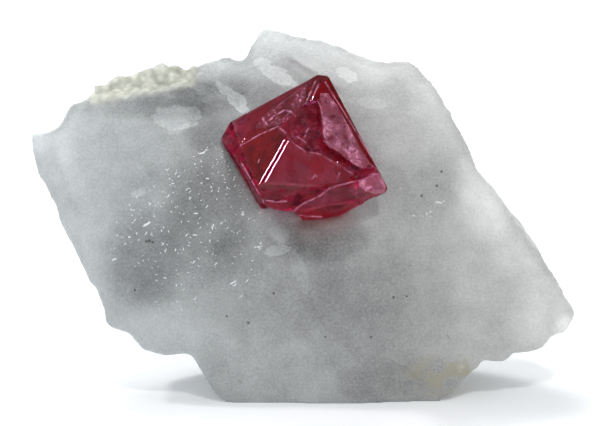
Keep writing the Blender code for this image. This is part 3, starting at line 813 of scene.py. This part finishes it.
def edge_planes(turn, farthest):
    """Planes that round each edge of the octahedron, as a distance from the origin and a normal."""
    made = []
    for signs in product((-1, 0, 1), repeat=3):
        if sum(map(abs, signs)) != 2:
            continue
        facet = turn @ Vector(signs).normalized()
        radius = (WIDE_EDGE_RADIUS if signs in WIDE_EDGES else EDGE_RADIUS) * MM
        sides = [s for s in product((-1, 1), repeat=3) if Vector(s).dot(Vector(signs)) == 2]
        for side in (turn @ Vector(s).normalized() for s in sides):
            cosine = side.dot(facet)
            first, second = farthest(side) - radius, farthest(facet) - radius
            middle = (
                side * (first - second * cosine) + facet * (second - first * cosine)
            ) / (1 - cosine * cosine)
            for step in range(EDGE_STEPS):
                normal = side.slerp(facet, (step + 0.5) / EDGE_STEPS)
                made.append((normal.dot(middle) + radius, normal))
    return made


def seen_flat(points):
    """Where points of the model's frame fall on the face's plane, seen from in front, in millimetres."""
    face = in_face_frame(points)
    eye = np.array([PICTURE_MIDDLE[0], PICTURE_MIDDLE[1]])
    return eye + (face[:, :2] - eye) * (CAMERA_DISTANCE / (CAMERA_DISTANCE - face[:, 2]))[:, None]


def within(points, outline):
    """Whether each (u, v) lies inside the closed outline."""
    found = np.zeros(len(points), dtype=bool)
    for (au, av), (bu, bv) in zip(outline, outline[1:] + outline[:1]):
        crosses = (av > points[:, 1]) != (bv > points[:, 1])
        with np.errstate(divide="ignore", invalid="ignore"):
            found ^= crosses & (points[:, 0] < (bu - au) * (points[:, 1] - av) / (bv - av) + au)
    return found


def round_edges(bm):
    """Cuts a few narrow planes along each edge of the octahedron."""
    corners = np.array([v.co for v in bm.verts])
    turn = FACE.to_3x3().normalized() @ CRYSTAL_TURN.to_matrix()
    for distance, normal in edge_planes(turn, lambda n: float((corners @ np.array(n)).max())):
        geometry = bm.verts[:] + bm.edges[:] + bm.faces[:]
        cut = bmesh.ops.bisect_plane(
            bm, geom=geometry, plane_co=normal * distance, plane_no=normal, clear_outer=True, dist=1e-9
        )["geom_cut"]
        bmesh.ops.holes_fill(bm, edges=[e for e in cut if isinstance(e, bmesh.types.BMEdge)], sides=0)


def refine(bm):
    """Splits faces until they are small enough for what is drawn on them."""
    drawn = [outline + outline[:1] for outline, _ in PLACES] + [line for line, _ in PALE_LINES]
    for _ in range(MOST_ROUNDS):
        edges = [e for e in bm.edges if e.calc_length() > FINEST * MM]
        middles = np.array([(e.verts[0].co + e.verts[1].co) / 2 for e in edges])
        flat = seen_flat(middles)
        front = in_face_frame(middles)[:, 2] > 0
        gap = np.zeros(len(flat))
        gap[front] = np.min([line_distance(flat[front], line) for line in drawn], axis=0)
        limit = np.where(front, np.clip(FINEST + 0.8 * gap, FINEST, COARSEST), BEHIND) * MM
        long = [e for e, most in zip(edges, limit) if e.calc_length() > most]
        if not long:
            break
        bmesh.ops.subdivide_edges(bm, edges=long, cuts=1)
        bmesh.ops.triangulate(bm, faces=bm.faces)


def mark_crystal(mesh):
    """Keeps on the front how each place looks and where the pale lines run."""
    flat = seen_flat(coordinates(mesh))
    front = normals(mesh) @ np.array(seen_from(0, 0, 1)) > 0.05
    marks = np.zeros((len(flat), 4))
    for outline, strengths in PLACES:
        marks = np.maximum(marks, within(flat, outline)[:, None] * np.array(strengths))
    for name, values in zip(("haze", "etch", "uneven", "shade"), marks.T):
        keep(mesh, name, values * front)
    pale = np.zeros(len(flat))
    for line, half_width in PALE_LINES:
        beside = soft_step(line_distance(flat, line), 0.5 * half_width, 1.6 * half_width)
        pale = np.maximum(pale, 1 - beside)
    keep(mesh, "pale", pale * front)


def shape_crystal():
    """The crystal with its edges rounded by a hair, and faces small enough to hold the etching."""
    bm = bmesh.new()
    bm.from_mesh(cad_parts["spinel_crystal"].data)
    bmesh.ops.remove_doubles(bm, verts=bm.verts, dist=SAME_CORNER * MM)
    round_edges(bm)
    bmesh.ops.remove_doubles(bm, verts=bm.verts, dist=SAME_CUT * MM)
    bmesh.ops.dissolve_limit(bm, angle_limit=FLAT_ANGLE, verts=bm.verts, edges=bm.edges)
    bmesh.ops.triangulate(bm, faces=bm.faces)
    refine(bm)
    bmesh.ops.dissolve_degenerate(bm, edges=bm.edges, dist=SLIVER * MM)
    bmesh.ops.triangulate(bm, faces=bm.faces)
    bmesh.ops.recalc_face_normals(bm, faces=bm.faces)
    mesh = bpy.data.meshes.new("spinel_fine")
    bm.to_mesh(mesh)
    bm.free()
    mesh.validate()
    mark_crystal(mesh)
    made = bpy.data.objects.new("spinel_fine", mesh)
    bpy.context.scene.collection.objects.link(made)
    return made


def spinel_finish():
    recipe = Recipe(bpy.data.materials.new("red_spinel"))
    place = recipe.place()
    etch = recipe.attribute("etch")
    pits = recipe.between(recipe.speckle(place, 0.25, 5.0, 0.7), 0.50, 0.58)
    dark_pits = recipe.between(recipe.speckle(place, 0.38, 4.0, 0.7), 0.53, 0.60)
    areas = recipe.between(recipe.speckle(place, 1.3, 3.0), 0.40, 0.60)
    streaks = dash_layers(recipe, place, STREAKS)
    waves = recipe.cells(place, 0.9, {"feature": "SMOOTH_F1"})
    height = 0.8 * waves * recipe.attribute("uneven") + 0.35 * recipe.speckle(place, 0.3, 3.0) * etch
    height = height + 0.06 * recipe.speckle(place, 1.8)
    bump = recipe.node("ShaderNodeBump", {}, {"Strength": 1.0, "Distance": 0.12 * MM, "Height": height})
    glass = recipe.shader(
        {
            "Base Color": GLASS_PINK,
            "Roughness": 0.02 + 0.16 * etch * areas,
            "IOR": SPINEL_IOR,
            "Specular IOR Level": 0.13,
            "Specular Tint": GLEAM_PINK,
            "Transmission Weight": 1.0,
            "Normal": bump,
        }
    )
    frost = recipe.shader(
        {"Base Color": FROST_PINK, "Roughness": 0.45, "Specular IOR Level": 0.2, "Normal": bump}
    )
    deep = recipe.between(recipe.speckle(place, 0.9, 4.0, 0.65), 0.46, 0.60)
    shaded = recipe.blend(deep, SHADE_RED, DEEP_RED)
    dark = recipe.shader({"Base Color": shaded, "Roughness": 0.6, "Specular IOR Level": 0.0})
    broken = recipe.between(recipe.speckle(place, 0.6, 3.0), 0.35, 0.55)
    share = recipe.attribute("haze") * (0.6 + 0.8 * areas) * (1 - 0.85 * dark_pits * etch)
    share = share + etch * (0.02 + 0.35 * pits * areas + 0.8 * streaks * areas)
    # Frost along the pale lines, partly painted glints
    share = share + 0.42 * recipe.attribute("pale") * broken
    dim = recipe.attribute("shade") * (0.6 + 0.8 * areas)
    mixed = recipe.node("ShaderNodeMixShader", {}, {0: dim, 1: glass, 2: dark})
    mixed = recipe.node("ShaderNodeMixShader", {}, {0: share, 1: mixed, 2: frost})
    body = recipe.node("ShaderNodeVolumeAbsorption", {}, {"Color": BODY_RED, "Density": BODY_DENSITY})
    recipe.finish(mixed, body)
    return recipe.owner


# Studio


# Dark cards that the crystal's faces mirror: direction as the camera sees it, the angle that they reach
# to, in degrees, and the share of the light that they take
DARK_SPOTS = [
    ((-0.66, 0.59, -0.47), 30, 0.75),
    ((-0.29, 0.80, 0.53), 20, 0.95),
    ((0.67, 0.31, 0.67), 27, 0.75),
    ((0.78, 0.40, -0.48), 27, 0.9),
    ((0.16, 0.68, -0.71), 24, 0.85),
    ((-0.68, 0.05, -0.73), 34, 0.85),
]
SKY_WHITE, SKY_LIGHT = (0.95, 0.98, 0.995, 1), 0.8

# Square lamps: name, direction as the camera sees it, distance and width in millimetres, and radiance
LAMPS = [
    ("upper_left_lamp", (-0.62, 0.78, 0.06), 300, 28, 85),
    ("upper_right_lamp", (0.20, 0.62, 0.76), 300, 28, 85),
    ("top_panel", (-0.15, 0.94, -0.30), 400, 190, 5.0),
]
LIT_PLACE = (0, 12, 3)

# The floor's half width in metres, its colour, and the faint light that it gives off
FLOOR_HALF_WIDTH = 3.0
CARD_WHITE = (0.93, 0.94, 0.955, 1)
CARD_GLOW, CARD_GLOW_STRENGTH = (0.95, 0.975, 1.0, 1), 0.14


def softbox(name, direction, distance, width, radiance):
    """A square lamp that faces the chip."""
    lamp = bpy.data.lights.new(name, "AREA")
    lamp.size = width * MM
    lamp.energy = radiance * math.pi * lamp.size * lamp.size
    made = bpy.data.objects.new(name, lamp)
    out = seen_from(*direction)
    made.location = at(*LIT_PLACE) + out * distance * MM
    made.rotation_euler = out.to_track_quat("Z", "Y").to_euler()
    bpy.context.scene.collection.objects.link(made)


def set_floor():
    bm = bmesh.new()
    bmesh.ops.create_grid(bm, x_segments=1, y_segments=1, size=FLOOR_HALF_WIDTH)
    mesh = bpy.data.meshes.new("studio_floor")
    bm.to_mesh(mesh)
    bm.free()
    floor = bpy.data.objects.new("studio_floor", mesh)
    bpy.context.scene.collection.objects.link(floor)
    recipe = Recipe(bpy.data.materials.new("white_card"))
    surface = recipe.shader(
        {
            "Base Color": CARD_WHITE,
            "Roughness": 0.9,
            "Specular IOR Level": 0.0,
            "Emission Color": CARD_GLOW,
            "Emission Strength": CARD_GLOW_STRENGTH,
        }
    )
    recipe.finish(surface)
    mesh.materials.append(recipe.owner)


def set_world():
    recipe = Recipe(bpy.data.worlds.new("studio"))
    toward = recipe.node("ShaderNodeTexCoord")
    light = SKY_LIGHT
    for direction, degrees, share in DARK_SPOTS:
        values = {0: toward, 1: seen_from(*direction)}
        along = recipe.node("ShaderNodeVectorMath", {"operation": "DOT_PRODUCT"}, values, output=1)
        reach = math.radians(degrees)
        light = light * (1 - share * recipe.between(along, math.cos(reach), math.cos(0.6 * reach)))
    glow = recipe.node("ShaderNodeBackground", {}, {"Color": SKY_WHITE, "Strength": light})
    recipe.finish(glow, kind="ShaderNodeOutputWorld")
    bpy.context.scene.world = recipe.owner


def set_camera():
    camera = bpy.data.cameras.new("camera")
    camera.lens = CAMERA_LENS
    camera.sensor_width = 36
    camera.clip_start = 0.01
    camera.clip_end = 20
    made = bpy.data.objects.new("camera", camera)
    out = seen_from(0, 0, 1)
    made.location = at(*PICTURE_MIDDLE) + out * CAMERA_DISTANCE * MM
    made.rotation_euler = out.to_track_quat("Z", "Y").to_euler()
    bpy.context.scene.collection.objects.link(made)
    bpy.context.scene.camera = made
    bpy.context.scene.view_settings.view_transform = "Standard"


set_camera()
set_world()
set_floor()
for lamp in LAMPS:
    softbox(*lamp)

marble = shape_marble()
marble.data.materials.clear()
marble.data.materials.append(marble_finish())
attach(marble, "root")
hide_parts("marble_matrix")

spinel = shape_crystal()
spinel.data.materials.append(spinel_finish())
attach(spinel, "root")
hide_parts("spinel_crystal")
